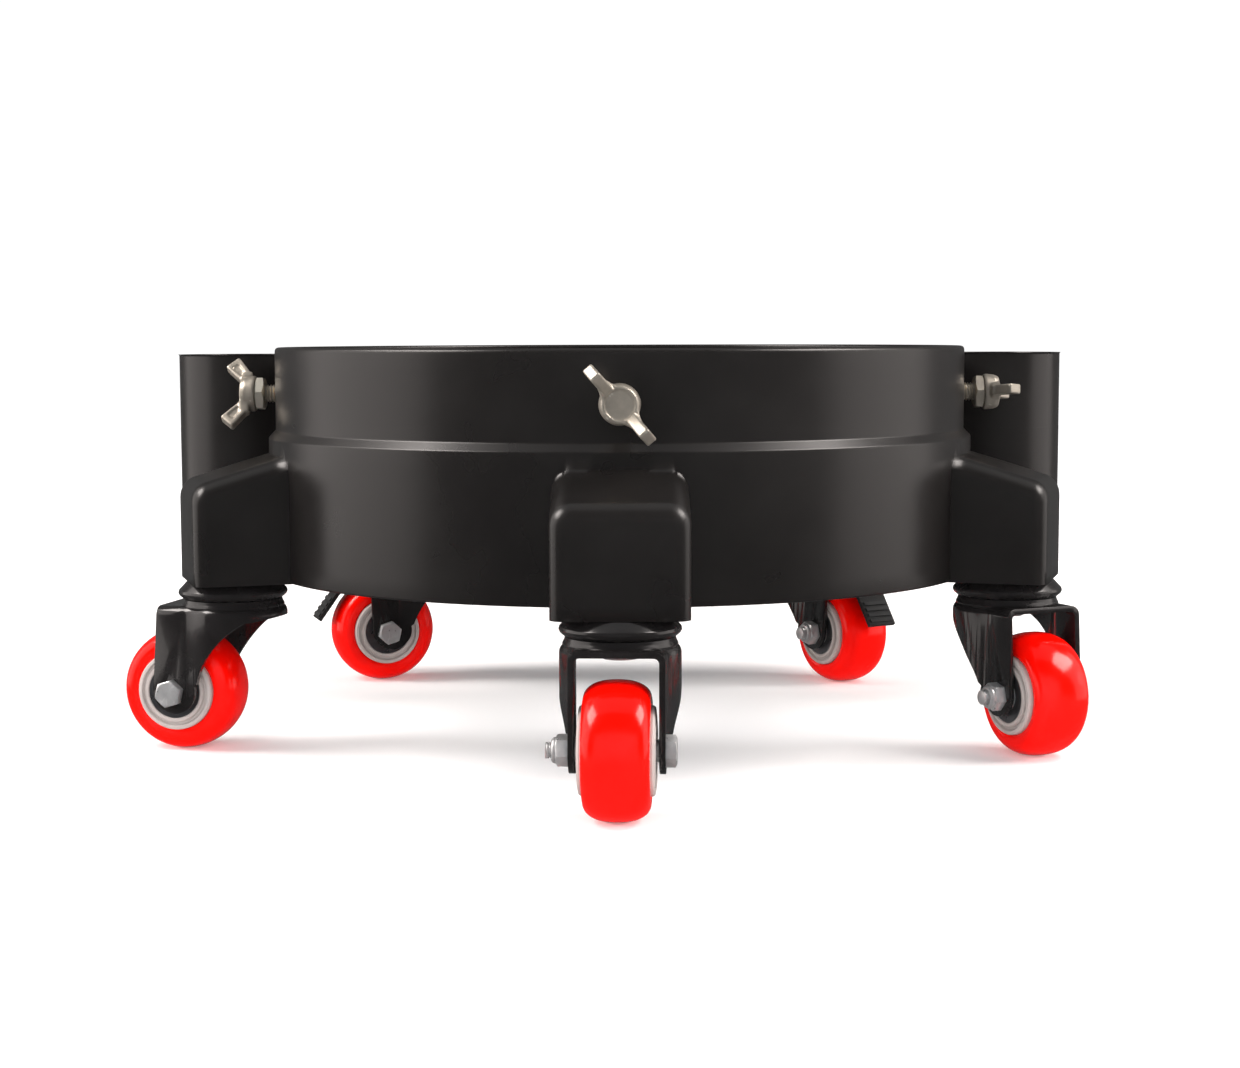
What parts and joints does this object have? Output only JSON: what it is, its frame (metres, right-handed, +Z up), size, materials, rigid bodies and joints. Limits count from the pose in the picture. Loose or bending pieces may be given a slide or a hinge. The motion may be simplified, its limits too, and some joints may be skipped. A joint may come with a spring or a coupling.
{
  "type": "bucket and drum dolly",
  "caption": "Round bucket dolly: stepped plastic ring with leg housings, swivel casters with brakes, side tubes for tools and wing screws that clamp the bucket.",
  "frame": {"origin": "centre of the face that the bucket stands on, on the ring's axis", "axes": "+Z up along the ring's axis, -Y towards the front leg, +X to the right seen from the front; the floor is 78 mm below the origin"},
  "size_m": [0.4061, 0.3846, 0.165],
  "materials": {
    "body_plastic": "satin moulded polypropylene, black",
    "brass": "turned",
    "zinc_steel": "bright zinc plate",
    "black_steel": "gloss black coating on pressed steel",
    "wheel_tread": "glossy red polyurethane",
    "wheel_core": "moulded grey nylon",
    "bearing_steel": "ground steel with dark seals",
    "nickel_steel": "satin nickel plate on a die casting",
    "nylon": "natural nylon"
  },
  "bodies": {
    "chassis": {"base_ring": "body_plastic", "leg_housings": "body_plastic", "tool_tubes": "body_plastic", "threaded_inserts": "brass", "caster_stems": "zinc_steel", "upper_races": "black_steel", "swivel_balls": "zinc_steel"},
    "swivel_front": {"fork_front": "black_steel", "axle_bolt_front": "zinc_steel", "axle_nut_front": "zinc_steel", "axle_sleeve_front": "zinc_steel"},
    "wheel_front": {"wheel_tyre_front": "wheel_tread", "wheel_hub_front": "wheel_core", "wheel_bearings_front": "bearing_steel"},
    "swivel_left": {"fork_left": "black_steel", "axle_bolt_left": "zinc_steel", "axle_nut_left": "zinc_steel", "axle_sleeve_left": "zinc_steel"},
    "wheel_left": {"wheel_tyre_left": "wheel_tread", "wheel_hub_left": "wheel_core", "wheel_bearings_left": "bearing_steel"},
    "swivel_right": {"fork_right": "black_steel", "axle_bolt_right": "zinc_steel", "axle_nut_right": "zinc_steel", "axle_sleeve_right": "zinc_steel"},
    "wheel_right": {"wheel_tyre_right": "wheel_tread", "wheel_hub_right": "wheel_core", "wheel_bearings_right": "bearing_steel"},
    "swivel_rear_left": {"fork_rear_left": "black_steel", "axle_bolt_rear_left": "zinc_steel", "axle_nut_rear_left": "zinc_steel", "axle_sleeve_rear_left": "zinc_steel", "brake_spring_rear_left": "zinc_steel", "brake_rivets_rear_left": "zinc_steel"},
    "wheel_rear_left": {"wheel_tyre_rear_left": "wheel_tread", "wheel_hub_rear_left": "wheel_core", "wheel_bearings_rear_left": "bearing_steel"},
    "pedal_rear_left": {"brake_pedal_rear_left": "black_steel"},
    "swivel_rear_right": {"fork_rear_right": "black_steel", "axle_bolt_rear_right": "zinc_steel", "axle_nut_rear_right": "zinc_steel", "axle_sleeve_rear_right": "zinc_steel", "brake_spring_rear_right": "zinc_steel", "brake_rivets_rear_right": "zinc_steel"},
    "wheel_rear_right": {"wheel_tyre_rear_right": "wheel_tread", "wheel_hub_rear_right": "wheel_core", "wheel_bearings_rear_right": "bearing_steel"},
    "pedal_rear_right": {"brake_pedal_rear_right": "black_steel"},
    "tip_front": {"screw_tip_front": "nylon"},
    "screw_front": {"wing_screw_front": "nickel_steel", "lock_nut_front": "nickel_steel"},
    "tip_left": {"screw_tip_left": "nylon"},
    "screw_left": {"wing_screw_left": "nickel_steel", "lock_nut_left": "nickel_steel"},
    "tip_right": {"screw_tip_right": "nylon"},
    "screw_right": {"wing_screw_right": "nickel_steel", "lock_nut_right": "nickel_steel"},
    "tip_rear": {"screw_tip_rear": "nylon"},
    "screw_rear": {"wing_screw_rear": "nickel_steel", "lock_nut_rear": "nickel_steel"}
  },
  "joints": [
    {"name": "swivel_turn_front", "type": "hinge", "parent": "chassis", "child": "swivel_front", "pos_m": [0, -0.1675, -0.02], "axis": [0, 0, 1], "continuous": true},
    {"name": "wheel_spin_front", "type": "hinge", "parent": "swivel_front", "child": "wheel_front", "pos_m": [-0.0011, -0.18847, -0.053], "axis": [0.9986, -0.0523, 0], "continuous": true},
    {"name": "swivel_turn_left", "type": "hinge", "parent": "chassis", "child": "swivel_left", "pos_m": [-0.1593, -0.05176, -0.02], "axis": [0, 0, 1], "continuous": true},
    {"name": "wheel_spin_left", "type": "hinge", "parent": "swivel_left", "child": "wheel_left", "pos_m": [-0.17984, -0.04739, -0.053], "axis": [-0.2079, -0.9781, 0], "continuous": true},
    {"name": "swivel_turn_right", "type": "hinge", "parent": "chassis", "child": "swivel_right", "pos_m": [0.1593, -0.05176, -0.02], "axis": [0, 0, 1], "continuous": true},
    {"name": "wheel_spin_right", "type": "hinge", "parent": "swivel_right", "child": "wheel_right", "pos_m": [0.16751, -0.07109, -0.053], "axis": [0.9205, 0.3907, 0], "continuous": true},
    {"name": "swivel_turn_rear_left", "type": "hinge", "parent": "chassis", "child": "swivel_rear_left", "pos_m": [-0.09845, 0.13551, -0.02], "axis": [0, 0, 1], "continuous": true},
    {"name": "wheel_spin_rear_left", "type": "hinge", "parent": "swivel_rear_left", "child": "wheel_rear_left", "pos_m": [-0.11843, 0.12902, -0.053], "axis": [0.309, -0.9511, 0], "continuous": true},
    {"name": "brake_lift_rear_left", "type": "hinge", "parent": "swivel_rear_left", "child": "pedal_rear_left", "pos_m": [-0.12318, 0.12748, -0.0245], "axis": [-0.309, 0.9511, 0], "range_deg": [0, 25]},
    {"name": "swivel_turn_rear_right", "type": "hinge", "parent": "chassis", "child": "swivel_rear_right", "pos_m": [0.09845, 0.13551, -0.02], "axis": [0, 0, 1], "continuous": true},
    {"name": "wheel_spin_rear_right", "type": "hinge", "parent": "swivel_rear_right", "child": "wheel_rear_right", "pos_m": [0.10895, 0.11732, -0.053], "axis": [0.866, 0.5, 0], "continuous": true},
    {"name": "brake_lift_rear_right", "type": "hinge", "parent": "swivel_rear_right", "child": "pedal_rear_right", "pos_m": [0.11145, 0.11299, -0.0245], "axis": [-0.866, -0.5, 0], "range_deg": [0, 25]},
    {"name": "screw_travel_front", "type": "slide", "parent": "chassis", "child": "tip_front", "axis": [0, 1, 0], "range_m": [-0.007, 0.005]},
    {"name": "screw_turn_front", "type": "hinge", "parent": "tip_front", "child": "screw_front", "pos_m": [0, -0.157, 0.067], "axis": [0, 1, 0], "range_deg": [-2017, 1441]},
    {"name": "screw_travel_left", "type": "slide", "parent": "chassis", "child": "tip_left", "axis": [1, 0, 0], "range_m": [-0.007, 0.005]},
    {"name": "screw_turn_left", "type": "hinge", "parent": "tip_left", "child": "screw_left", "pos_m": [-0.157, 0, 0.067], "axis": [1, 0, 0], "range_deg": [-2017, 1441]},
    {"name": "screw_travel_right", "type": "slide", "parent": "chassis", "child": "tip_right", "axis": [-1, 0, 0], "range_m": [-0.007, 0.005]},
    {"name": "screw_turn_right", "type": "hinge", "parent": "tip_right", "child": "screw_right", "pos_m": [0.157, 0, 0.067], "axis": [-1, 0, 0], "range_deg": [-2017, 1441]},
    {"name": "screw_travel_rear", "type": "slide", "parent": "chassis", "child": "tip_rear", "axis": [0, -1, 0], "range_m": [-0.007, 0.005]},
    {"name": "screw_turn_rear", "type": "hinge", "parent": "tip_rear", "child": "screw_rear", "pos_m": [0, 0.157, 0.067], "axis": [0, -1, 0], "range_deg": [-2017, 1441]}
  ],
  "couplings": [
    {"joint": "screw_turn_front", "follows": "screw_travel_front", "rad_per_m": 5026.5},
    {"joint": "screw_turn_left", "follows": "screw_travel_left", "rad_per_m": 5026.5},
    {"joint": "screw_turn_right", "follows": "screw_travel_right", "rad_per_m": 5026.5},
    {"joint": "screw_turn_rear", "follows": "screw_travel_rear", "rad_per_m": 5026.5}
  ]
}
